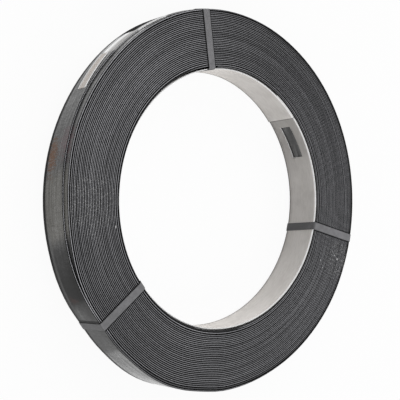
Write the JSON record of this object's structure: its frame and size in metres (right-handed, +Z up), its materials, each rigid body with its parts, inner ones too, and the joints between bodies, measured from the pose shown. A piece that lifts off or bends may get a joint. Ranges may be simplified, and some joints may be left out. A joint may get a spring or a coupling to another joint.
{
  "type": "steel strapping coil",
  "caption": "Ribbon-wound coil of black painted steel strap on a board-lined bore, its turns held by narrow steel tie bands and a blank paper slip on its rim.",
  "frame": {"origin": "middle of the bore, on the coil's axis at half its width", "axes": "+Z up along the coil's axis, out of the end that the picture shows; +Y towards the top of the coil in the picture, +X to the right seen from that end"},
  "size_m": [0.2946, 0.294, 0.0326],
  "materials": {
    "strap_paint": "black strapping paint, satin, slit edges",
    "liner_board": "matt grey board",
    "tie_steel": "grey coated steel band",
    "label_paper": "matt paper, blank"
  },
  "bodies": {
    "root": {"strap_coil": "strap_paint", "core_liner": "liner_board", "tie_band_top": "tie_steel", "tie_band_right": "tie_steel", "tie_band_left": "tie_steel", "rim_label": "label_paper"}
  },
  "joints": []
}
